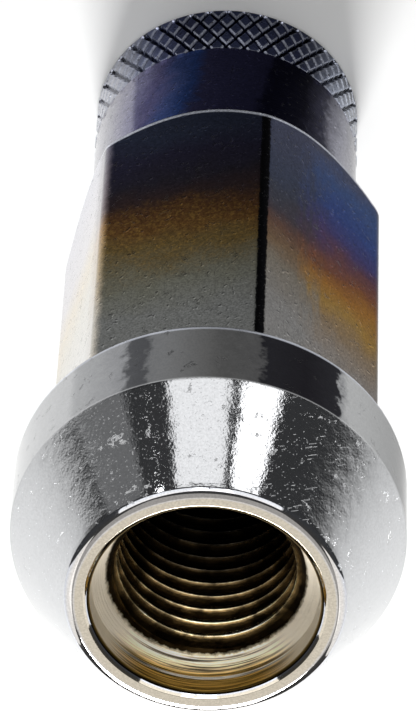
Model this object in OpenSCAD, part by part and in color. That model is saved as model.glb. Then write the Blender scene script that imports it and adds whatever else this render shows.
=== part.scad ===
// Open-ended conical-seat lug nut, turned from hexagon bar and plated, in millimetres.
// It stands on its knurled end, centred on the Z axis, with the conical seat and the mouth on top.

/* [Overall] */
// Length from the knurled end to the seat face
nut_l = 60.5; // [50:0.5:75]

/* [Knurled collar] */
// Height of the knurled band at the outer end
collar_l = 5.5; // [4:0.1:7]
// How far the rolled knurl stands proud of the neck
collar_swell = 0.05; // [0.02:0.01:0.15]
// Spacing of the diamonds round the collar
knurl_pitch = 1.39; // [1.2:0.01:2]
// Lean of the knurl grooves from the axis
knurl_angle = 30; // [25:1:40]
// Depth of the right-hand grooves at the middle of the collar
knurl_depth = 0.33; // [0.2:0.01:0.4]
// How much shallower the left-hand grooves are
knurl_hand_step = 0.04; // [0.02:0.01:0.08]
// Opening angle of the V of a groove
knurl_v_angle = 80; // [60:1:95]
// Height of the plain rim that closes the grooves at the end of the collar
collar_rim_l = 0.45; // [0.3:0.05:0.8]
// Chamfer round the end of the rim
collar_chamfer = 0.3; // [0.1:0.05:0.4]

/* [Neck] */
// Diameter of the smooth neck between the collar and the hexagon
neck_d = 19.8; // [18.5:0.1:20.5]
// Length of the neck, up to where the hexagon flats start
neck_l = 9.3; // [6:0.1:12]

/* [Hexagon] */
// Width across the flats
hex_af = 21; // [20.6:0.1:22.5]
// How far the corners are turned down from the sharp hexagon
hex_corner_trim = 0.16; // [0.05:0.01:0.3]
// Angle from the axis of the chamfer turned on the outer end of the flats
hex_chamfer_angle = 35; // [25:1:50]

/* [Flange] */
// Diameter of the flange behind the conical seat
flange_d = 27.5; // [26.5:0.1:30]
// Width of the flange, its back chamfer included
flange_l = 6.4; // [4:0.1:8]
// Chamfer on the back edge of the flange
flange_chamfer = 0.35; // [0.1:0.05:0.6]

/* [Conical seat] */
// Included angle of the seat
seat_angle = 60; // [55:1:70]
// Diameter at which the cone would meet the seat face without its rounding
seat_face_d = 19; // [18.6:0.1:21]
// Radius of the rounding between the cone and the seat face
seat_edge_r = 0.5; // [0.3:0.05:0.8]

/* [Bore] */
// Diameter of the plain counterbore in the mouth
mouth_d = 15.8; // [15:0.1:16.2]
// Depth of the counterbore below the seat face
mouth_depth = 2.1; // [1.5:0.1:5]
// Chamfer at the lip of the mouth
mouth_chamfer = 0.45; // [0.2:0.05:0.6]
// Nominal diameter of the thread
thread_d = 14; // [12:0.5:14.5]
// Pitch of the thread
thread_pitch = 1.5; // [1.25:0.25:2]
// Chamfer of the bore at the knurled end
end_chamfer = 1; // [0.5:0.1:1.5]

/* [Hidden] */

// Share of the pitch by which a standard metric thread's crests reduce its diameter
crest_drop_share = 1.0825;
// Overrun of every cut past the surface that it opens
over = 1;
// Steps in the rounding of the seat's edge
round_steps = 4;
// Facets of the turned surfaces
turned_fn = 180;

bore_r = (thread_d - crest_drop_share * thread_pitch) / 2;
mouth_r = mouth_d / 2;
neck_r = neck_d / 2;
flange_r = flange_d / 2;
seat_face_r = seat_face_d / 2;
collar_r = neck_r + collar_swell;

// Heights above the knurled end
hex_z = collar_l + neck_l;
seat_lean = seat_angle / 2;
seat_z = nut_l - (flange_r - seat_face_r) / tan(seat_lean);
flange_z = seat_z - flange_l;

// The hexagon: its corners, and the cone that is turned on its outer end
hex_flat_r = hex_af / 2;
hex_sharp_r = hex_flat_r / cos(30);
hex_corner_r = hex_sharp_r - hex_corner_trim;
hex_foot_z = hex_z - (hex_flat_r - neck_r) / tan(hex_chamfer_angle);
hex_shoulder_z = hex_z + (hex_corner_r - hex_flat_r) / tan(hex_chamfer_angle);
hex_top_z = flange_z + flange_chamfer;

// The knurl: straight grooves that lean both ways, each cut by a bar past both ends of the collar
knurl_count = round(2 * PI * collar_r / knurl_pitch);
bar_l = (collar_l + knurl_pitch) / cos(knurl_angle);

// Rounding from the seat face to the cone, as points on an arc about its centre
edge_turn = 90 - seat_lean;
edge_centre = [seat_face_r - seat_edge_r * tan(edge_turn / 2), nut_l - seat_edge_r];
seat_edge = [
    for (i = [round_steps:-1:0])
        let (a = edge_turn * i / round_steps)
        edge_centre + seat_edge_r * [sin(a), cos(a)]
];

// Straight V-shaped bars laid round the collar, all leaning the same way
module groove_ring(lean, depth) {
    for (i = [0:knurl_count - 1])
        rotate([0, 0, 360 * i / knurl_count])
        translate([collar_r - depth, 0, collar_l / 2])
        rotate([lean, 0, 0])
        linear_extrude(height = bar_l, center = true)
        polygon([
            [0, 0],
            [over, over * tan(knurl_v_angle / 2)],
            [over, -over * tan(knurl_v_angle / 2)]
        ]);
}

// Plain chamfered rim at the end of the collar, where the knurl stops short
module collar_rim() {
    color("midnightblue")
    rotate_extrude($fn = turned_fn)
    polygon([
        [0, 0],
        [collar_r - collar_chamfer, 0],
        [collar_r, collar_chamfer],
        [collar_r, collar_rim_l],
        [0, collar_rim_l]
    ]);
}

// Band above the rim, cut by one hand of grooves and then across them by the other
module knurled_band() {
    color("midnightblue")
    difference() {
        difference() {
            translate([0, 0, collar_rim_l])
            cylinder(h = collar_l - collar_rim_l, r = collar_r, $fn = turned_fn);
            groove_ring(knurl_angle, knurl_depth);
        }
        groove_ring(-knurl_angle, knurl_depth - knurl_hand_step);
    }
}

// Smooth neck, up to the foot of the hexagon's chamfer and on into the hexagon
module neck() {
    color("midnightblue")
    translate([0, 0, collar_l])
    cylinder(h = neck_l, r = neck_r, $fn = turned_fn);
}

// Hexagon with turned-down corners and a steep chamfer that bows its outer end
module hexagon() {
    color("dimgray")
    intersection() {
        translate([0, 0, hex_foot_z])
        cylinder(h = hex_top_z - hex_foot_z, r = hex_sharp_r, $fn = 6);
        rotate_extrude($fn = turned_fn)
        polygon([
            [0, hex_foot_z],
            [neck_r, hex_foot_z],
            [hex_corner_r, hex_shoulder_z],
            [hex_corner_r, hex_top_z],
            [0, hex_top_z]
        ]);
    }
}

// Flange and conical seat, turned as one profile
module flange_and_seat() {
    color("silver")
    rotate_extrude($fn = turned_fn)
    polygon(concat(
        [
            [0, flange_z],
            [flange_r - flange_chamfer, flange_z],
            [flange_r, flange_z + flange_chamfer],
            [flange_r, seat_z]
        ],
        seat_edge,
        [[0, nut_l]]
    ));
}

// Everything that is bored out: the threaded hole, its two chamfers, the counterbore and its lip
module bore() {
    rotate_extrude($fn = turned_fn)
    polygon([
        [0, -over],
        [bore_r + end_chamfer + over, -over],
        [bore_r, end_chamfer],
        [bore_r, nut_l - mouth_depth - (mouth_r - bore_r)],
        [mouth_r, nut_l - mouth_depth],
        [mouth_r, nut_l - mouth_chamfer],
        [mouth_r + mouth_chamfer + over, nut_l + over],
        [0, nut_l + over]
    ]);
}

// The whole nut, one solid
module lug_nut() {
    difference() {
        union() {
            collar_rim();
            knurled_band();
            neck();
            hexagon();
            flange_and_seat();
        }
        bore();
    }
}

lug_nut();
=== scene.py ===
import math

import bmesh
import bpy
from mathutils import Matrix, Vector


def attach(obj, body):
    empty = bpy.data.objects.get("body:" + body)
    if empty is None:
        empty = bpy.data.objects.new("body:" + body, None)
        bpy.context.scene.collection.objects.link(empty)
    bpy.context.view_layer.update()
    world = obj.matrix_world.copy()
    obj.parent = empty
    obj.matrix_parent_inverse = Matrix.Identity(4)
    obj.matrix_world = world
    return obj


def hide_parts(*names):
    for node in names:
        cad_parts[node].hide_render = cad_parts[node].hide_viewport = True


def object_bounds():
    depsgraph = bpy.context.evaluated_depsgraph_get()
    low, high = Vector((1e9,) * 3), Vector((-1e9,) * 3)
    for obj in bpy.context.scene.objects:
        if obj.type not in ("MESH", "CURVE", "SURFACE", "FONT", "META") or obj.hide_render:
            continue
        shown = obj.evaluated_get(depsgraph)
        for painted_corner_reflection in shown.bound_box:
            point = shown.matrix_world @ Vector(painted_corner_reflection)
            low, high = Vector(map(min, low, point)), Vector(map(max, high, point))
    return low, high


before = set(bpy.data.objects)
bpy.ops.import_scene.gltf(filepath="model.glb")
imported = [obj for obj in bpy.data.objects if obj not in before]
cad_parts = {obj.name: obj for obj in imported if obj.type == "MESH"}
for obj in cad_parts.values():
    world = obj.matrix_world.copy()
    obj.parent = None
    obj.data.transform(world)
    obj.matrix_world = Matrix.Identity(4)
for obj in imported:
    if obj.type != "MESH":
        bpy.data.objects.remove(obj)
cad_low, cad_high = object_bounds()
scene = bpy.context.scene
scene.view_settings.view_transform = "Standard"


# Camera: a long lens that looks down into the mouth of the standing nut. It is turned nearly upside
# down, so that the mouth comes at the bottom of the picture and the knurled collar at the top.
MM = 0.001
lens = bpy.data.cameras.new("long_lens")
lens.lens = 292.06
lens.sensor_width = 36
lens.clip_start = 0.02
lens.clip_end = 8
camera = bpy.data.objects.new("camera", lens)
scene.collection.objects.link(camera)
camera_place = Vector((-67.923, -236.379, 375.955)) * MM
picture_right = Vector((-0.97016, 0.24086, -0.02780))
picture_up = Vector((-0.18038, -0.79365, -0.58102))
facing = Matrix((picture_right, picture_up, picture_right.cross(picture_up))).transposed()
camera.matrix_world = Matrix.Translation(camera_place) @ facing.to_4x4()
scene.camera = camera


# Floor: a plain sweep of matt white card, lit evenly. It is larger than anything the lens sees,
# and the card has no gloss, so it shows white with only the soft shadow of the nut.
def linear(colour):
    """An sRGB hex colour such as "c8a050" as linear red, green, blue and alpha."""
    shares = [int(colour[i:i + 2], 16) / 255 for i in (0, 2, 4)]
    return [s / 12.92 if s <= 0.04045 else ((s + 0.055) / 1.055) ** 2.4 for s in shares] + [1]


def add(tree, kind, inputs=(), stops=(), **settings):
    """
    A node with its settings, its inputs as values or links, and the stops of its colour ramp.
    An input goes by its name, or by its number where a node has several of one name. In a Mix node
    0 is the share, and at shares 0 and 1 stand the colours 6 and 7, or the values 2 and 3.
    """
    node = tree.nodes.new(kind)
    for name, value in settings.items():
        setattr(node, name, value)
    for socket, value in dict(inputs).items():
        if isinstance(value, bpy.types.Node):
            value = next(output for output in value.outputs if output.enabled)
        if isinstance(value, bpy.types.NodeSocket):
            tree.links.new(value, node.inputs[socket])
        else:
            node.inputs[socket].default_value = value
    for i, (place, colour) in enumerate(stops):
        element = node.color_ramp.elements[i] if i < 2 else node.color_ramp.elements.new(place)
        element.position = place
        element.color = linear(colour)
    return node


def new_material(name):
    """An empty node material with its shader and output joined."""
    material = bpy.data.materials.new(name)
    material.use_nodes = True
    tree = material.node_tree
    tree.nodes.clear()
    shader = add(tree, "ShaderNodeBsdfPrincipled")
    add(tree, "ShaderNodeOutputMaterial", {"Surface": shader.outputs[0]})
    return material, tree, shader


card, card_tree, card_shader = new_material("matt_white_card")
card_shader.inputs["Base Color"].default_value = linear("f7f7f6")
card_shader.inputs["Roughness"].default_value = 0.9
card_shader.inputs["Specular IOR Level"].default_value = 0.1
CARD_HALF = 2
card_corners = [(x * CARD_HALF, y * CARD_HALF, 0) for x, y in ((-1, -1), (1, -1), (1, 1), (-1, 1))]
floor_mesh = bpy.data.meshes.new("floor")
floor_mesh.from_pydata(card_corners, [], [(0, 1, 2, 3)])
floor_mesh.materials.append(card)
floor = bpy.data.objects.new("floor", floor_mesh)
scene.collection.objects.link(floor)


# Light: a dim studio with soft box lamps. The overhead and the key lamp whiten the floor, and the
# mouth's own lamp lights its flat face. Two tall ones at the back whiten the seat's edge, three round the
# front reach down into the mouth, and the low ones and the strip are the bright streaks on the seat.
sky = bpy.data.worlds.new("studio")
sky.use_nodes = True
sky.node_tree.nodes["Background"].inputs["Color"].default_value = linear("eef0f4")
sky.node_tree.nodes["Background"].inputs["Strength"].default_value = 0.06
scene.world = sky
AIM = Vector((0, 0, 0.05))
# Angles in degrees about the point that they aim at, lengths in metres, then the brightness of the face
for name, azimuth, elevation, distance, width, height, radiance in (
    ("softbox_overhead", 66, 72, 0.7, 0.75, 0.75, 0.37),
    ("softbox_key", 71, 34, 0.7, 0.26, 0.26, 26.5),
    ("softbox_mouth", 74, 54, 0.7, 0.22, 0.22, 0.42),
    ("softbox_back_left", 24, 24, 0.7, 0.50, 0.72, 1.0),
    ("softbox_back_right", 124, 24, 0.7, 0.50, 0.72, 1.0),
    ("softbox_front", -98.9, 6, 0.6, 0.315, 0.12, 1.35),
    ("softbox_front_right", -128.2, 6, 0.6, 0.19, 0.12, 2.4),
    ("softbox_low_left", -50, 2, 0.6, 0.28, 0.13, 0.17),
    ("strip_left", -73, 12, 0.6, 0.03, 0.06, 14.0),
    ("softbox_front_high", -107.5, 40, 0.6, 0.24, 0.32, 1.3),
    ("softbox_corner_left", -72, 40, 0.6, 0.62, 0.32, 1.3),
    ("softbox_corner_right", -137, 40, 0.6, 0.40, 0.32, 1.3),
):
    lamp = bpy.data.lights.new(name, "AREA")
    lamp.shape = "RECTANGLE"
    lamp.size = width
    lamp.size_y = height
    lamp.energy = radiance * math.pi * width * height
    swing, rise = math.radians(azimuth), math.radians(elevation)
    back = Vector((math.cos(swing) * math.cos(rise), math.sin(swing) * math.cos(rise), math.sin(rise)))
    holder = bpy.data.objects.new(name, lamp)
    holder.location = AIM + back * distance
    holder.rotation_euler = back.to_track_quat("Z", "Y").to_euler()
    scene.collection.objects.link(holder)


# Knurled collar: the outer end of the nut, rolled between two crossed knurling wheels. 45 V grooves
# of each hand leave flat-topped diamonds, and a turned chamfer leaves a thin plain rim.
nut = bmesh.new()
# How far each vertex has been rubbed, from 0 to 1, which the plating reads and paints near white, so that
# the rubbed edges also carry a painted highlight
worn_and_highlit = nut.verts.layers.float.new("worn_and_highlit_edge")
# The finish of each face: plated outside, and bare tapped steel in the bore
PLATED = 0
BARE = 1
COLLAR_R = 9.95
COLLAR_L = 5.5
RIM_L = 0.45
RIM_CHAMFER = 0.3
GROOVES = 45
GROOVE_DEPTH = 0.3
GROOVE_LEAN = math.radians(30)
# Columns of the mesh from groove to groove, and from the middle line of a groove to its edge
GROOVE_COLUMNS = 16
HALF_GROOVE = 3


def ring(points):
    """Vertices at points given in millimetres as (distance from the axis, angle, height)."""
    return [nut.verts.new((r * math.cos(a) * MM, r * math.sin(a) * MM, z * MM)) for r, a, z in points]


def join(lower, upper, finish):
    """Faces between two rings, one of which may have several times as many vertices."""
    if len(lower) < len(upper):
        lower, upper = upper, lower
    ratio = len(lower) // len(upper)
    for i in range(len(upper)):
        fine = [lower[(i * ratio + k) % len(lower)] for k in range(ratio + 1)]
        start, end = upper[i], upper[(i + 1) % len(upper)]
        if ratio == 1:
            faces = [(fine[0], fine[1], end, start)]
        else:
            half = ratio // 2
            faces = [(fine[k], fine[k + 1], start if k < half else end) for k in range(ratio)]
            faces.append((start, fine[half], end))
        for corners in faces:
            nut.faces.new(corners).material_index = finish


def groove(columns_from_line):
    """Depth of a groove so many columns from its middle line."""
    off = (columns_from_line + GROOVE_COLUMNS / 2) % GROOVE_COLUMNS - GROOVE_COLUMNS / 2
    return GROOVE_DEPTH * max(0, 1 - abs(off) / HALF_GROOVE)


def collar_wall(column, row, z):
    """Distance from the axis to the wall of the collar: its end chamfer, its plain rim, or its knurl."""
    if z <= RIM_CHAMFER:
        return COLLAR_R - RIM_CHAMFER + z
    if z <= RIM_L:
        return COLLAR_R
    return COLLAR_R - max(groove(column + row), groove(column - row))


collar_columns = GROOVES * GROOVE_COLUMNS
collar_turns = [2 * math.pi * i / collar_columns for i in range(collar_columns)]
row_l = 2 * math.pi * COLLAR_R / collar_columns / math.tan(GROOVE_LEAN)
half_rows = int(COLLAR_L / 2 / row_l)
rows = list(range(-half_rows, half_rows + 1))
collar_rings = []
for row in rows:
    z = COLLAR_L / 2 + row * row_l
    collar_rings.append(ring([(collar_wall(i, row, z), angle, z) for i, angle in enumerate(collar_turns)]))
# Each small square of the mesh is split along the hand of groove that is deeper there
for row, lower, upper in zip(rows, collar_rings, collar_rings[1:]):
    for i in range(collar_columns):
        k = (i + 1) % collar_columns
        if groove(i + 0.5 + row + 0.5) >= groove(i + 0.5 - row - 0.5):
            corners = ((lower[i], lower[k], upper[i]), (lower[k], upper[k], upper[i]))
        else:
            corners = ((lower[i], lower[k], upper[k]), (lower[i], upper[k], upper[i]))
        for three in corners:
            nut.faces.new(three).material_index = PLATED
rim = ring([(COLLAR_R - RIM_CHAMFER, angle, 0) for angle in collar_turns])
join(rim, collar_rings[0], PLATED)


# Neck and hexagon: the neck is turned down from hexagon bar. A steep cone turned on the end of the flats
# bows their outer edge, and the bar's own corners stay rounded as they were drawn.
NECK_R = 9.9
HEX_FLAT_R = 10.5
HEX_CHAMFER = math.radians(35)
# How far the bar's rounded corners fall short of sharp ones, and the radius that leaves them so
HEX_CORNER_TRIM = 0.16
HEX_CORNER_RADIUS = HEX_CORNER_TRIM / (1 / math.cos(math.radians(30)) - 1)
# Height at which the flats begin, and at which the cone on their end meets the neck
HEX_Z = 14.8
HEX_FOOT_Z = HEX_Z - (HEX_FLAT_R - NECK_R) / math.tan(HEX_CHAMFER)
# Height on the flats at which the outlines of the flange's end take over from those of the neck's end
HEX_MIDDLE_Z = 40
# Columns of the mesh on each flat and round each corner, and steps round an edge of a turned outline
FLAT_COLUMNS = 50
CORNER_COLUMNS = 10
EDGE_STEPS = 4
# How far beyond a rubbed edge the rubbing and its painted highlight fade out
WEAR_AND_HIGHLIGHT_FADE = 0.15


def turned_profile(corners):
    """
    Points (distance, height, rubbing) of a turned outline, from its corners as (distance, height, radius of
    the rounding, rubbing). The rubbing is also painted as a highlight. A point beyond each rounding lets it
    fade out.
    """
    points = []
    for i, (r, z, radius, wear_and_highlight) in enumerate(corners):
        here = Vector((r, z))
        if radius == 0:
            points.append((r, z, wear_and_highlight))
            continue
        back = (Vector(corners[i - 1][:2]) - here).normalized()
        on = (Vector(corners[i + 1][:2]) - here).normalized()
        half = back.angle(on) / 2
        centre = here + (back + on).normalized() * radius / math.sin(half)
        start = here + back * radius / math.tan(half) - centre
        end = here + on * radius / math.tan(half) - centre
        for s in range(EDGE_STEPS + 1):
            p = centre + start.lerp(end, s / EDGE_STEPS).normalized() * radius
            points.append((p.x, p.y, wear_and_highlight if s > 0 else 0))
        p += on * WEAR_AND_HIGHLIGHT_FADE
        points.append((p.x, p.y, 0))
    return points


def turned_rings(below, outlines, finish):
    """Rings up the outlines that stand at each column, joined to each other and to the ring below them."""
    for level in zip(*outlines):
        above = ring([(r, angle, z) for (r, z, wear_and_highlight), (out, angle) in zip(level, columns)])
        for vertex, (r, z, wear_and_highlight) in zip(above, level):
            vertex[worn_and_highlit] = wear_and_highlight
        join(below, above, finish)
        below = above
    return below


# The rounded hexagon as (distance, angle) columns, from the middle of the corner on +X on
corner_centre = Vector((HEX_FLAT_R - HEX_CORNER_RADIUS, 0))
corner_centre.y = corner_centre.x * math.tan(math.radians(30))
columns = []
for side in range(6):
    middle = math.radians(60 * side + 30)
    across = []
    for s in range(FLAT_COLUMNS):
        across.append(Vector((HEX_FLAT_R, corner_centre.y * (2 * s / FLAT_COLUMNS - 1))))
    for s in range(CORNER_COLUMNS):
        sweep = math.radians(60 * s / CORNER_COLUMNS)
        across.append(corner_centre + HEX_CORNER_RADIUS * Vector((math.cos(sweep), math.sin(sweep))))
    columns += [(p.length, math.atan2(p.y, p.x) + middle) for p in across]
half_corner = CORNER_COLUMNS // 2
columns = columns[-half_corner:] + columns[:-half_corner]
# Two rings just above the knurl bring its many columns down to those of the hexagon
neck_start = ring([(NECK_R, angle, COLLAR_L + 0.03) for angle in collar_turns])
join(collar_rings[-1], neck_start, PLATED)
neck_foot = ring([(NECK_R, 2 * math.pi * i / len(columns), COLLAR_L + 0.7) for i in range(len(columns))])
join(neck_start, neck_foot, PLATED)
hexagon_end = turned_rings(neck_foot, [turned_profile([
    (NECK_R, COLLAR_L + 4, 0, 0),
    (NECK_R, HEX_FOOT_Z, 0.3, 0),
    (out, HEX_Z + (out - HEX_FLAT_R) / math.tan(HEX_CHAMFER), 0.9, 0.6),
    (out, HEX_MIDDLE_Z, 0, 0),
]) for out, angle in columns], PLATED)


# Flange, conical seat and mouth: turned at the other end of the bar. The seat runs up over a rounded edge
# to a narrow flat face, and inside the lip a short plain counterbore leads down to the thread.
NUT_L = cad_high.z / MM
FLANGE_R = cad_high.x / MM
FLANGE_L = 6.4
SEAT_FACE_R = 9.5
SEAT_LEAN = math.radians(30)
MOUTH_R = 7.9
MOUTH_DEPTH = 2.1
LIP_CHAMFER = 0.45
ROOT_R = 7.0
SEAT_Z = NUT_L - (FLANGE_R - SEAT_FACE_R) / math.tan(SEAT_LEAN)
FLANGE_Z = SEAT_Z - FLANGE_L
LEAD_IN_Z = NUT_L - MOUTH_DEPTH - (MOUTH_R - ROOT_R)
lip_r, lip_z = MOUTH_R + LIP_CHAMFER / 2, NUT_L - LIP_CHAMFER / 2
face_end = turned_rings(hexagon_end, [turned_profile([
    (out, HEX_MIDDLE_Z, 0, 0),
    (out, FLANGE_Z, 0.3, 0),
    (FLANGE_R, FLANGE_Z, 0.6, 0.6),
    (FLANGE_R, SEAT_Z, 0.1, 0),
    (SEAT_FACE_R, NUT_L, 0.8, 0.4),
    (MOUTH_R + LIP_CHAMFER, NUT_L, 0.06, 0),
    (lip_r, lip_z, 0, 0.9),
])[1:] for out, angle in columns], PLATED)
mouth_end = turned_rings(face_end, [turned_profile([
    (lip_r, lip_z, 0, 0),
    (MOUTH_R, NUT_L - LIP_CHAMFER, 0.06, 0),
    (MOUTH_R, NUT_L - MOUTH_DEPTH, 0.12, 0),
    (ROOT_R, LEAD_IN_Z, 0, 0),
])[1:-1]] * len(columns), BARE)


# Thread: cut right through the bar with a tap, 14 mm over the roots and 1.5 mm from turn to turn. The
# lead-in below the mouth and the chamfer at the knurled end cut its first and last turns to an edge.
PITCH = 1.5
CREST_R = 6.188
CREST_EDGE_R = 6.225
# The outline of one turn as (share of the pitch, distance from the axis), with the crest's edges broken
FORM = (
    (0, CREST_EDGE_R), (0.04, CREST_R), (0.21, CREST_R), (0.25, CREST_EDGE_R),
    (0.5625, ROOT_R), (0.6875, ROOT_R), (1, CREST_EDGE_R))
END_R = CREST_R + 1
END_Z = END_R - ROOT_R
# The turns above this height are seen from the mouth, so their mesh is finer
FINE_Z = 48
FINE_SHARES = (0, 0.04, 0.125, 0.21, 0.25, 0.33, 0.41, 0.49, 0.5625, 0.6875, 0.77, 0.85, 0.93)
BORE_COLUMNS = 120
# A point nearer than this to a level ring is taken as the ring's own
SLIVER = 0.004
bore_turns = [2 * math.pi * c / BORE_COLUMNS for c in range(BORE_COLUMNS)]


def wall_r(angle, z):
    """Distance from the axis to the wall of the bore."""
    share = (z / PITCH - angle / (2 * math.pi)) % 1
    for (low, low_r), (high, high_r) in zip(FORM, FORM[1:]):
        if share <= high:
            form_r = low_r + (high_r - low_r) * (share - low) / (high - low)
            break
    return max(form_r, ROOT_R + z - LEAD_IN_Z, END_R - z)


def level_ring(z):
    """A level ring of the bore's wall."""
    return ring([(wall_r(angle, z), angle, z) for angle in bore_turns])


def threaded_length(low_z, low_ring, high_z, high_ring, shares):
    """The thread's wall between two level rings, its rows following the helix."""
    turns = range(int(low_z / PITCH) - 2, int(high_z / PITCH) + 3)
    levels = [(turn + share) * PITCH for turn in turns for share in shares]
    grid = []
    for c, angle in enumerate(bore_turns):
        wall = []
        for level in levels:
            z = level + PITCH * c / BORE_COLUMNS
            if z < low_z + SLIVER:
                wall.append(low_ring[c])
            elif z > high_z - SLIVER:
                wall.append(high_ring[c])
            else:
                wall += ring([(wall_r(angle, z), angle, z)])
        grid.append(wall)
    # Once round, the helix has climbed by one turn, so the first column comes back a turn further up
    grid.append(grid[0][len(shares):] + [high_ring[0]] * len(shares))
    for here, beside in zip(grid, grid[1:]):
        for k in range(len(levels) - 1):
            corners = []
            for painted_corner_reflection in (here[k], beside[k], beside[k + 1], here[k + 1]):
                if painted_corner_reflection not in corners:
                    corners.append(painted_corner_reflection)
            if len(corners) > 2:
                nut.faces.new(corners).material_index = BARE


first_ring, fine_ring, last_ring = (level_ring(z) for z in (END_Z, FINE_Z, LEAD_IN_Z))
threaded_length(END_Z, first_ring, FINE_Z, fine_ring, [share for share, _ in FORM[:-1]])
threaded_length(FINE_Z, fine_ring, LEAD_IN_Z, last_ring, FINE_SHARES)
join(mouth_end, last_ring, BARE)
end_ring = ring([(END_R, angle, 0) for angle in bore_turns])
join(end_ring, first_ring, BARE)
join(rim, end_ring, PLATED)


def measured(tree):
    """Place in mm, height, distance from the axis, and degrees round from the front flat's middle."""
    spot = add(tree, "ShaderNodeTexCoord").outputs["Object"]
    place = add(tree, "ShaderNodeVectorMath", {0: spot, "Scale": 1 / MM}, operation="SCALE")
    axes = add(tree, "ShaderNodeSeparateXYZ", {0: place}).outputs
    flat = add(tree, "ShaderNodeCombineXYZ", {0: axes[0], 1: axes[1]})
    out = add(tree, "ShaderNodeVectorMath", {0: flat}, operation="LENGTH")
    forward = add(tree, "ShaderNodeMath", {0: axes[1], 1: -1}, operation="MULTIPLY")
    turn = add(tree, "ShaderNodeMath", {0: axes[0], 1: forward}, operation="ARCTAN2")
    turn = add(tree, "ShaderNodeMath", {0: turn}, operation="DEGREES")
    return place, axes[2], out, turn


# Tapped steel: the wall of the bore is bare steel, cut by a reamer and a tap, in oil that has browned. The
# crests and the lead-in are warm and pale with painted glints, the roots are painted dark as shade, and
# deeper in the steel is painted dark where the light is lost.
tapped, tree, shader = new_material("tapped_steel_and_painted_light")
place, height, out, turn = measured(tree)

# The tap broke chips of 0.3 mm off the edge of the lead-in, so every colour there starts at a ragged height
chips = add(tree, "ShaderNodeTexNoise", {"Vector": place, "Scale": 3.2, "Detail": 5})
chips = add(tree, "ShaderNodeMath", {0: chips, 1: 0.3, 2: -0.15}, operation="MULTIPLY_ADD")
at_crest = add(tree, "ShaderNodeMapRange", {
    "Value": height, "From Min": LEAD_IN_Z + 0.6, "From Max": LEAD_IN_Z + 0.2})
chips = add(tree, "ShaderNodeMath", {0: chips, 1: at_crest, 2: height}, operation="MULTIPLY_ADD")
# The stops are places between the heights of 36 and 61 mm
depth = add(tree, "ShaderNodeMapRange", {"Value": chips, "From Min": 36, "From Max": 61})
# Painted shade darkens the steel deep in the bore, a white line low on the counterbore wall is a painted
# highlight, and a black line on the lip chamfer is painted reflection
steel = add(tree, "ShaderNodeValToRGB", {0: depth}, stops=(
    (0.0, "181818"), (0.317, "2c2c2c"), (0.512, "4c463c"), (0.688, "d0c0a0"), (0.855, "e8dab8"),
    (0.862, "fff0d8"), (0.885, "e4d0a8"), (0.896, "b89850"), (0.903, "c8a860"), (0.907, "ffffff"),
    (0.913, "ffffff"), (0.918, "c0a058"), (0.96, "b89448"), (0.966, "120e08")))

# The counterbore is gold on its far side, and the rest of its wall is painted pale as if lit, which is
# painted light
far_wall = add(tree, "ShaderNodeVectorMath", {0: place, 1: (0.276, 0.961, 0)}, operation="DOT_PRODUCT")
far_wall = add(tree, "ShaderNodeMapRange", {"Value": far_wall, "From Min": 4.2, "From Max": 7.0},
               interpolation_type="SMOOTHSTEP")
in_mouth = add(tree, "ShaderNodeMapRange", {
    "Value": chips, "From Min": LEAD_IN_Z - 0.2, "From Max": LEAD_IN_Z})
below_lip = add(tree, "ShaderNodeMapRange", {
    "Value": height, "From Min": NUT_L - 0.4, "From Max": NUT_L - 0.5})
painted_lit_walls = add(tree, "ShaderNodeMath", {0: 1, 1: far_wall}, operation="SUBTRACT")
painted_lit_walls = add(tree, "ShaderNodeMath", {0: painted_lit_walls, 1: in_mouth}, operation="MULTIPLY")
painted_lit_walls = add(tree, "ShaderNodeMath", {0: painted_lit_walls, 1: below_lip}, operation="MULTIPLY")
steel = add(tree, "ShaderNodeMix", {0: painted_lit_walls, 6: steel, 7: linear("f9f1e1")}, data_type="RGBA")

# From crest to root each turn is painted darker as shade, and along the crests painted glints brighten it
# in stretches of 2 mm
root = add(tree, "ShaderNodeMapRange", {"Value": out, "From Min": CREST_R, "From Max": ROOT_R - 0.2})
root = add(tree, "ShaderNodeValToRGB", {0: root}, stops=(
    (0.0, "ffffff"), (0.06, "ffffff"), (0.12, "a8987c"), (0.35, "544834"), (0.7, "1e1810")))
root = add(tree, "ShaderNodeMix", {0: in_mouth, 6: root, 7: linear("ffffff")}, data_type="RGBA")
steel = add(tree, "ShaderNodeMix", {0: 1, 6: steel, 7: root}, data_type="RGBA", blend_type="MULTIPLY")
glints = add(tree, "ShaderNodeTexNoise", {"Vector": place, "Scale": 0.6, "Detail": 4, "Roughness": 0.6})
glints = add(tree, "ShaderNodeMapRange", {
    "Value": glints, "From Min": 0.40, "From Max": 0.62, "To Min": 0.35, "To Max": 2.2})
glints = add(tree, "ShaderNodeMix", {0: in_mouth, 2: glints, 3: 1})
steel = add(tree, "ShaderNodeMix", {0: 1, 6: steel, 7: glints}, data_type="RGBA",
            blend_type="MULTIPLY", clamp_result=True)

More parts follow.
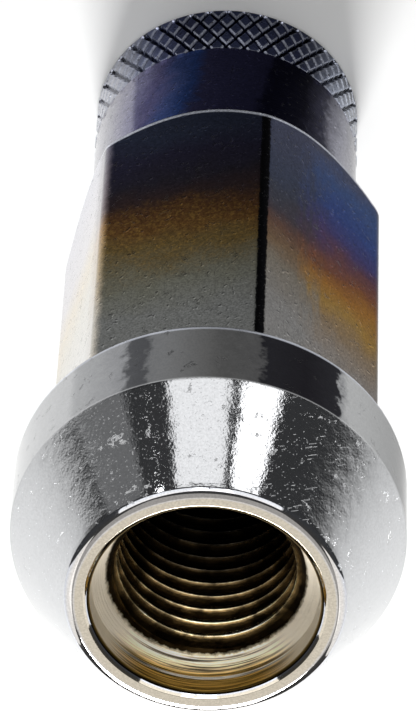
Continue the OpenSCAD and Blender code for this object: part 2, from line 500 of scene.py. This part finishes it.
# Tool rings round the counterbore, drawn 0.12 mm apart, twice a boring tool's feed, so that they show
lines_at = add(tree, "ShaderNodeVectorMath", {0: place, 1: (0.015, 0.015, 1)}, operation="MULTIPLY")
lines = add(tree, "ShaderNodeTexNoise", {"Vector": lines_at, "Scale": 8, "Detail": 3, "Roughness": 0.7})
lined = add(tree, "ShaderNodeMapRange", {
    "Value": lines, "From Min": 0.42, "From Max": 0.56, "To Min": 0.15, "To Max": 1.6})
on_far_wall = add(tree, "ShaderNodeMath", {0: in_mouth, 1: far_wall}, operation="MULTIPLY")
steel = add(tree, "ShaderNodeMix", {0: on_far_wall, 6: steel, 7: lined}, data_type="RGBA",
            blend_type="MULTIPLY", clamp_result=True)
tree.links.new(steel.outputs[2], shader.inputs["Base Color"])
lines = add(tree, "ShaderNodeMath", {0: lines, 1: in_mouth}, operation="MULTIPLY")
patches = add(tree, "ShaderNodeTexNoise", {"Vector": place, "Scale": 2.2, "Detail": 5, "Roughness": 0.7})
skin = add(tree, "ShaderNodeBump", {"Height": lines, "Strength": 1, "Distance": 0.05 * MM})
skin = add(tree, "ShaderNodeBump", {
    "Height": patches, "Strength": 1, "Distance": 0.05 * MM, "Normal": skin})
tree.links.new(skin.outputs[0], shader.inputs["Normal"])
shader.inputs["Metallic"].default_value = 1
dulled = add(tree, "ShaderNodeMapRange", {
    "Value": height, "From Min": LEAD_IN_Z - 0.5, "From Max": LEAD_IN_Z + 0.1,
    "To Min": 0.22, "To Max": 0.65})
tree.links.new(dulled.outputs[0], shader.inputs["Roughness"])


# Plating: bright nickel over the whole nut. It mirrors the studio, a little broken up by the grain of the
# bar beneath it, by fine turning lines on the neck, and by dents and scratches from the toolbox.
plating, tree, shader = new_material("heat_tinted_nickel_and_painted_light")
place, height, out, turn = measured(tree)
on_collar = add(tree, "ShaderNodeMath", {0: height, 1: COLLAR_L}, operation="LESS_THAN")
on_neck = add(tree, "ShaderNodeMapRange", {
    "Value": height, "From Min": HEX_FOOT_Z + 0.35, "From Max": HEX_FOOT_Z - 0.05})
below_flange = add(tree, "ShaderNodeMath", {0: height, 1: FLANGE_Z - 0.25}, operation="LESS_THAN")
on_flange = add(tree, "ShaderNodeMapRange", {
    "Value": height, "From Min": FLANGE_Z - 0.15, "From Max": FLANGE_Z + 0.25})
on_seat = add(tree, "ShaderNodeMapRange", {
    "Value": height, "From Min": SEAT_Z - 0.15, "From Max": SEAT_Z + 0.15})
on_face = add(tree, "ShaderNodeMapRange", {
    "Value": height, "From Min": NUT_L - 0.25, "From Max": NUT_L - 0.08})
off_face = add(tree, "ShaderNodeMapRange", {
    "Value": height, "From Min": NUT_L - 0.2, "From Max": NUT_L - 0.6})
grain = add(tree, "ShaderNodeTexNoise", {"Vector": place, "Scale": 6.5, "Detail": 3})
ragged = add(tree, "ShaderNodeTexNoise", {"Vector": place, "Scale": 1.4, "Detail": 5, "Roughness": 0.6})
ragged_turn = add(tree, "ShaderNodeMath", {0: ragged, 1: 9, 2: -4.5}, operation="MULTIPLY_ADD")
ragged_turn = add(tree, "ShaderNodeMath", {0: turn, 1: ragged_turn}, operation="ADD")

# Heat tint: a flame from the front left a film of oxide. It runs up from blue-black at the knurled end
# through purple and bronze to bare nickel at the seat, in patches 6 mm wide, and is faint round the back.
# Part of its darkness is painted reflection: the front flat and one flat beside it are painted darker, face
# by face, as if they mirrored a dark floor.
drift = add(tree, "ShaderNodeTexNoise", {"Vector": place, "Scale": 0.16, "Detail": 5, "Roughness": 0.6})
tint_height = add(tree, "ShaderNodeMath", {0: drift, 1: 7, 2: -3.5}, operation="MULTIPLY_ADD")
tint_height = add(tree, "ShaderNodeMath", {0: height, 1: tint_height}, operation="ADD")
# The stops of the tints by height are shares of this height
TINT_L = 60
share = add(tree, "ShaderNodeMath", {0: tint_height, 1: TINT_L}, operation="DIVIDE")
front_tint_and_shade = add(tree, "ShaderNodeValToRGB", {0: share}, stops=(
    (0.283, "1f2330"), (0.333, "1b1a27"), (0.383, "1b1920"), (0.425, "241b1b"), (0.458, "372416"),
    (0.492, "45301a"), (0.533, "4a3e26"), (0.575, "504c3e"), (0.617, "585850"), (0.68, "606160")))
near_tint = add(tree, "ShaderNodeValToRGB", {0: share}, stops=(
    (0.283, "3a3d4e"), (0.383, "333848"), (0.425, "33353f"), (0.458, "3a3338"), (0.492, "543e34"),
    (0.533, "62503e"), (0.575, "69635a"), (0.67, "747372")))
far_tint = add(tree, "ShaderNodeValToRGB", {0: share}, stops=(
    (0.27, "434554"), (0.32, "34456a"), (0.383, "2c3b6a"), (0.43, "38345a"), (0.458, "4c3440"),
    (0.492, "66402a"), (0.533, "80592a"), (0.575, "816637"), (0.617, "746450"), (0.68, "75706c")))

# Gold specks of 0.3 mm in the bronze of the front face, and runs 1 mm wide that break the colours beside it
grains = add(tree, "ShaderNodeTexNoise", {"Vector": place, "Scale": 3.4, "Detail": 5, "Roughness": 0.75})
grains = add(tree, "ShaderNodeMapRange", {
    "Value": grains, "From Min": 0.48, "From Max": 0.70, "To Max": 0.55})
in_bronze = add(tree, "ShaderNodeMapRange", {"Value": share, "From Min": 0.42, "From Max": 0.48})
past_bronze = add(tree, "ShaderNodeMapRange", {"Value": share, "From Min": 0.62, "From Max": 0.53})
grains = add(tree, "ShaderNodeMath", {0: grains, 1: in_bronze}, operation="MULTIPLY")
grains = add(tree, "ShaderNodeMath", {0: grains, 1: past_bronze}, operation="MULTIPLY")
front_tint_and_shade = add(tree, "ShaderNodeMix", {0: grains, 6: front_tint_and_shade, 7: linear("7a6030")}, data_type="RGBA")
streaks_at = add(tree, "ShaderNodeVectorMath", {0: place, 1: (1, 1, 0.22)}, operation="MULTIPLY")
streaks = add(tree, "ShaderNodeTexNoise", {
    "Vector": streaks_at, "Scale": 0.8, "Detail": 6, "Roughness": 0.7})
far_side = add(tree, "ShaderNodeMath", {0: streaks, 1: -50, 2: 25}, operation="MULTIPLY_ADD")
far_side = add(tree, "ShaderNodeMath", {0: turn, 1: far_side}, operation="ADD")
far_side = add(tree, "ShaderNodeMapRange", {"Value": far_side, "From Min": -44, "From Max": -64},
               interpolation_type="SMOOTHSTEP")
side_tint = add(tree, "ShaderNodeMix", {0: far_side, 6: near_tint, 7: far_tint}, data_type="RGBA")
on_side = add(tree, "ShaderNodeMapRange", {"Value": turn, "From Min": -29, "From Max": -31})
hot_tint_and_shade = add(tree, "ShaderNodeMix", {0: on_side, 6: front_tint_and_shade, 7: side_tint}, data_type="RGBA")

# On one side and round the back the film is faint, with a stronger fringe along the front face's corner
mild_tint = add(tree, "ShaderNodeValToRGB", {0: share}, stops=(
    (0.20, "acacba"), (0.40, "b4afb2"), (0.47, "bcac8c"), (0.56, "b6b1a2"), (0.70, "b6b4b0")))
fringe_tint = add(tree, "ShaderNodeValToRGB", {0: share}, stops=(
    (0.25, "56566a"), (0.42, "645658"), (0.47, "94703c"), (0.55, "98835e"), (0.65, "a09a90")))
fringe = add(tree, "ShaderNodeMapRange", {"Value": ragged_turn, "From Min": 42, "From Max": 34},
             interpolation_type="SMOOTHSTEP")
mild_tint = add(tree, "ShaderNodeMix", {0: fringe, 6: mild_tint, 7: fringe_tint}, data_type="RGBA")
hot_edge = add(tree, "ShaderNodeMath", {0: ragged, 1: 2.5, 2: turn}, operation="MULTIPLY_ADD")
hot_left = add(tree, "ShaderNodeMapRange", {"Value": hot_edge, "From Min": 32, "From Max": 28.5},
               interpolation_type="SMOOTHSTEP")
hot_right = add(tree, "ShaderNodeMapRange", {"Value": ragged_turn, "From Min": -128, "From Max": -106},
                interpolation_type="SMOOTHSTEP")
hot_and_shaded = add(tree, "ShaderNodeMath", {0: hot_left, 1: hot_right}, operation="MULTIPLY")
tint = add(tree, "ShaderNodeMix", {0: hot_and_shaded, 6: mild_tint, 7: hot_tint_and_shade}, data_type="RGBA")

# Round the neck and the collar the film goes from silver lilac at the sides to blue and nearly black. The
# nearly black strip on the neck and the dark front of the collar are painted reflection of a shadowed floor
# over the blue film
side_share = add(tree, "ShaderNodeMapRange", {"Value": ragged_turn, "From Min": -140, "From Max": 100})
neck_drift = add(tree, "ShaderNodeMath", {0: drift, 1: 26, 2: -13}, operation="MULTIPLY_ADD")
neck_drift = add(tree, "ShaderNodeMath", {0: height, 1: -0.8, 2: neck_drift}, operation="MULTIPLY_ADD")
neck_share = add(tree, "ShaderNodeMath", {0: ragged_turn, 1: neck_drift}, operation="ADD")
neck_share = add(tree, "ShaderNodeMapRange", {"Value": neck_share, "From Min": -148, "From Max": 92})
neck_tint_and_reflection = add(tree, "ShaderNodeValToRGB", {0: neck_share}, stops=(
    (0.02, "b8b7be"), (0.20, "c4c3cc"), (0.272, "9c9ca8"), (0.325, "2a2a38"), (0.365, "090913"),
    (0.443, "080815"), (0.456, "18182a"), (0.521, "1e1e32"), (0.571, "24243a"), (0.593, "203058"),
    (0.633, "343f66"), (0.667, "4a4868"), (0.70, "6a6984"), (0.78, "8a8992"), (0.96, "b0aeb4")))
tint = add(tree, "ShaderNodeMix", {0: on_neck, 6: tint, 7: neck_tint_and_reflection}, data_type="RGBA")
collar_tint_and_reflection = add(tree, "ShaderNodeValToRGB", {0: side_share}, stops=(
    (0.04, "b4b6be"), (0.22, "a4a8b2"), (0.293, "8e94a4"), (0.347, "484c5c"), (0.387, "2a2e44"),
    (0.52, "30354c"), (0.60, "2e3248"), (0.647, "4c5270"), (0.687, "70768e"), (0.767, "9a9ca6"),
    (0.94, "b4b4bc")))
tint = add(tree, "ShaderNodeMix", {0: on_collar, 6: tint, 7: collar_tint_and_reflection}, data_type="RGBA")

# Painted reflection: a grey band and a black patch on the front of the flange, with ragged edges, stand in
# for the nut's shadow on the floor mirrored there. The seat stayed clean, and the flat face is a little
# cream.
flange_reflection_share = add(tree, "ShaderNodeMapRange", {"Value": ragged_turn, "From Min": -100, "From Max": 60})
painted_flange_reflection = add(tree, "ShaderNodeValToRGB", {0: flange_reflection_share}, stops=(
    (0.262, "b0b1b2"), (0.28, "8c8d8f"), (0.286, "28282c"), (0.36, "1d1c20"), (0.439, "232327"),
    (0.447, "4e4e4f"), (0.53, "6b6b6b"), (0.642, "6e6f71"), (0.655, "4a4b4e"), (0.684, "525356"),
    (0.70, "8e8f92"), (0.80, "b0b1b3")))
tint = add(tree, "ShaderNodeMix", {0: on_flange, 6: tint, 7: painted_flange_reflection}, data_type="RGBA")
tint = add(tree, "ShaderNodeMix", {0: on_seat, 6: tint, 7: linear("c6c7c9")}, data_type="RGBA")
tint = add(tree, "ShaderNodeMix", {0: on_face, 6: tint, 7: linear("dcd2c0")}, data_type="RGBA")

# Painted reflection: a black band along one corner of the hexagon stands in for a dark reflection, with
# edges broken by the grain
painted_corner_reflection = add(tree, "ShaderNodeMath", {0: ragged, 1: 0.06, 2: out}, operation="MULTIPLY_ADD")
painted_corner_reflection = add(tree, "ShaderNodeMath", {0: grain, 1: 0.12, 2: painted_corner_reflection}, operation="MULTIPLY_ADD")
painted_corner_reflection = add(tree, "ShaderNodeMapRange", {"Value": painted_corner_reflection, "From Min": 11.985, "From Max": 12.012},
             interpolation_type="SMOOTHSTEP")
painted_corner_reflection = add(tree, "ShaderNodeMath", {0: painted_corner_reflection, 1: below_flange}, operation="MULTIPLY")
right_corner = add(tree, "ShaderNodeMath", {0: turn, 1: -30, 2: 8}, operation="COMPARE")
painted_corner_reflection = add(tree, "ShaderNodeMath", {0: painted_corner_reflection, 1: right_corner}, operation="MULTIPLY")
tint = add(tree, "ShaderNodeMix", {0: painted_corner_reflection, 6: tint, 7: linear("08080a")}, data_type="RGBA")

# Wear and painted light: along the rubbed edges the film is gone down to polished nickel, painted near
# white so that each edge also shows a painted highlight line. A line 0.15 mm wide down both sides of each
# groove of the knurl is a painted highlight, and the bottoms of the grooves are painted dark as shade
worn_and_highlit_edge = add(tree, "ShaderNodeAttribute", attribute_name="worn_and_highlit_edge").outputs["Fac"]
groove_top = add(tree, "ShaderNodeMapRange", {
    "Value": out, "From Min": COLLAR_R - 0.19, "From Max": COLLAR_R - 0.1,
}, interpolation_type="SMOOTHSTEP")
groove_highlight = add(tree, "ShaderNodeMapRange", {
    "Value": out, "From Min": COLLAR_R - 0.002, "From Max": COLLAR_R - 0.02,
}, interpolation_type="SMOOTHSTEP")
groove_highlight = add(tree, "ShaderNodeMath", {0: groove_top, 1: groove_highlight}, operation="MULTIPLY")
groove_highlight = add(tree, "ShaderNodeMath", {0: groove_highlight, 1: on_collar}, operation="MULTIPLY")
groove_highlight = add(tree, "ShaderNodeMath", {0: groove_highlight, 1: 0.26}, operation="MULTIPLY")
rubbed_and_highlit = add(tree, "ShaderNodeMath", {0: worn_and_highlit_edge, 1: groove_highlight}, operation="MAXIMUM")
tint = add(tree, "ShaderNodeMix", {0: rubbed_and_highlit, 6: tint, 7: linear("e0e4f0")}, data_type="RGBA")
groove_shade = add(tree, "ShaderNodeMath", {0: 1, 1: groove_top}, operation="SUBTRACT")
groove_shade = add(tree, "ShaderNodeMath", {0: groove_shade, 1: on_collar}, operation="MULTIPLY")
groove_shade = add(tree, "ShaderNodeMath", {0: groove_shade, 1: 0.36}, operation="MULTIPLY")
tint = add(tree, "ShaderNodeMix", {0: groove_shade, 6: tint, 7: linear("14141c")}, data_type="RGBA")

# Dents of 0.5 mm all over but on the flat face. The pits of 0.2 mm below the flange are painted dark as
# shade, and each has a painted highlight on one rim.
dents = add(tree, "ShaderNodeTexNoise", {"Vector": place, "Scale": 0.9, "Detail": 6, "Roughness": 0.7})
dents = add(tree, "ShaderNodeMapRange", {"Value": dents, "From Min": 0.63, "From Max": 0.675},
            interpolation_type="SMOOTHSTEP")
dents = add(tree, "ShaderNodeMath", {0: dents, 1: off_face}, operation="MULTIPLY")
pits = add(tree, "ShaderNodeTexNoise", {"Vector": place, "Scale": 2.6, "Detail": 3})
pits = add(tree, "ShaderNodeMapRange", {"Value": pits, "From Min": 0.645, "From Max": 0.70},
           interpolation_type="SMOOTHSTEP")
pits = add(tree, "ShaderNodeMath", {0: pits, 1: below_flange}, operation="MULTIPLY")
beside = add(tree, "ShaderNodeVectorMath", {0: place, 1: (0.05, 0, -0.12)}, operation="ADD")
pit_highlights = add(tree, "ShaderNodeTexNoise", {"Vector": beside, "Scale": 2.6, "Detail": 3})
pit_highlights = add(tree, "ShaderNodeMapRange", {"Value": pit_highlights, "From Min": 0.645, "From Max": 0.70},
           interpolation_type="SMOOTHSTEP")
pit_highlights = add(tree, "ShaderNodeMath", {0: pit_highlights, 1: below_flange}, operation="MULTIPLY")
pit_highlights = add(tree, "ShaderNodeMapRange", {"Value": pit_highlights, "To Min": 1, "To Max": 2.0})
tint = add(tree, "ShaderNodeMix", {0: 1, 6: tint, 7: pit_highlights}, data_type="RGBA",
           blend_type="MULTIPLY", clamp_result=True)
pit_shade = add(tree, "ShaderNodeMath", {0: pits, 1: 0.6}, operation="MULTIPLY")
tint = add(tree, "ShaderNodeMix", {0: pit_shade, 6: tint, 7: linear("0c0c10")}, data_type="RGBA")

# Scratches on the seat, up to 2 mm long and 0.16 mm wide, in two directions
marks = []
for lean in ((0.4, 0.9, 0.9), (0.4, -0.6, -0.6)):
    along = add(tree, "ShaderNodeMapping", {"Vector": place, "Rotation": lean, "Scale": (2, 0.16, 0.16)},
                vector_type="TEXTURE")
    marks.append(add(tree, "ShaderNodeTexNoise", {"Vector": along, "Scale": 1, "Detail": 1}))
scratches = add(tree, "ShaderNodeMath", {0: marks[0], 1: marks[1]}, operation="MAXIMUM")
scratches = add(tree, "ShaderNodeMapRange", {"Value": scratches, "From Min": 0.715, "From Max": 0.74})
scratches = add(tree, "ShaderNodeMath", {0: scratches, 1: on_seat}, operation="MULTIPLY")
scratches = add(tree, "ShaderNodeMath", {0: scratches, 1: off_face}, operation="MULTIPLY")

# Relief: ripple 1 mm long, grain drawn at 0.15 mm and, on the neck, turning lines drawn 0.12 mm apart, both
# coarser than the real ones so that they show, then the dents, pits and scratches pressed into it
ripple = add(tree, "ShaderNodeTexNoise", {"Vector": place, "Scale": 1.1, "Detail": 3})
ripple = add(tree, "ShaderNodeMath", {0: ripple, 1: off_face}, operation="MULTIPLY")
even_grain = add(tree, "ShaderNodeMath", {0: grain, 1: off_face}, operation="MULTIPLY")
lines_at = add(tree, "ShaderNodeVectorMath", {0: place, 1: (0.05, 0.05, 1)}, operation="MULTIPLY")
lines = add(tree, "ShaderNodeTexNoise", {"Vector": lines_at, "Scale": 8, "Detail": 2})
lines = add(tree, "ShaderNodeMath", {0: lines, 1: on_neck}, operation="MULTIPLY")
under = {}
for relief, depth, pressed_in in (
    (ripple, 0.018, False),
    (even_grain, 0.006, False),
    (lines, 0.012, False),
    (dents, 0.08, True),
    (pits, 0.03, True),
    (scratches, 0.02, True),
):
    skin = add(tree, "ShaderNodeBump", {"Height": relief, "Strength": 1, "Distance": depth * MM, **under},
               invert=pressed_in)
    under = {"Normal": skin}
tree.links.new(skin.outputs[0], shader.inputs["Normal"])

# The grain also mottles the film, and where the film is thick it dims the glare at a flat angle
mottle = add(tree, "ShaderNodeMapRange", {
    "Value": grain, "From Min": 0.35, "From Max": 0.65, "To Min": 0.5, "To Max": 1.5})
mottled = add(tree, "ShaderNodeMapRange", {
    "Value": height, "From Min": 45, "From Max": 47, "To Min": 0.55, "To Max": 0.14})
tint = add(tree, "ShaderNodeMix", {0: mottled, 6: tint, 7: mottle}, data_type="RGBA", blend_type="MULTIPLY")
filmed = add(tree, "ShaderNodeMath", {0: hot_and_shaded, 1: on_seat}, operation="SUBTRACT", use_clamp=True)
glare = add(tree, "ShaderNodeMix", {0: filmed, 6: linear("ffffff"), 7: linear("c0c0c0")}, data_type="RGBA")
tree.links.new(glare.outputs[2], shader.inputs["Specular Tint"])
tree.links.new(tint.outputs[2], shader.inputs["Base Color"])

# The grain dulls the nickel unevenly too, and only half as much on the seat, where it is turned smooth
dulled = add(tree, "ShaderNodeMapRange", {
    "Value": grain, "From Min": 0.3, "From Max": 0.7, "To Min": 0.06, "To Max": 0.15})
seat_share = add(tree, "ShaderNodeMapRange", {"Value": on_seat, "To Min": 1, "To Max": 0.5})
dulled = add(tree, "ShaderNodeMath", {0: dulled, 1: seat_share}, operation="MULTIPLY")
tree.links.new(dulled.outputs[0], shader.inputs["Roughness"])
shader.inputs["Metallic"].default_value = 1


# The whole nut: one piece of steel, plated outside and bare in the bore. Its shading is smooth everywhere
# but at edges sharper than 36 degrees, such as the bottoms of the grooves and the crests of the thread.
bmesh.ops.recalc_face_normals(nut, faces=nut.faces)
SHARP = math.radians(36)
for face in nut.faces:
    face.smooth = True
for edge in nut.edges:
    if edge.calc_face_angle(0) > SHARP:
        edge.smooth = False
nut_mesh = bpy.data.meshes.new("lug_nut_plated")
nut.to_mesh(nut_mesh)
nut.free()
nut_piece = bpy.data.objects.new("lug_nut_plated", nut_mesh)
scene.collection.objects.link(nut_piece)
shading = nut_piece.modifiers.new("even_shading", "WEIGHTED_NORMAL")
shading.keep_sharp = True
nut_mesh.materials.append(plating)
nut_mesh.materials.append(tapped)
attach(nut_piece, "root")
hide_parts("lug_nut")
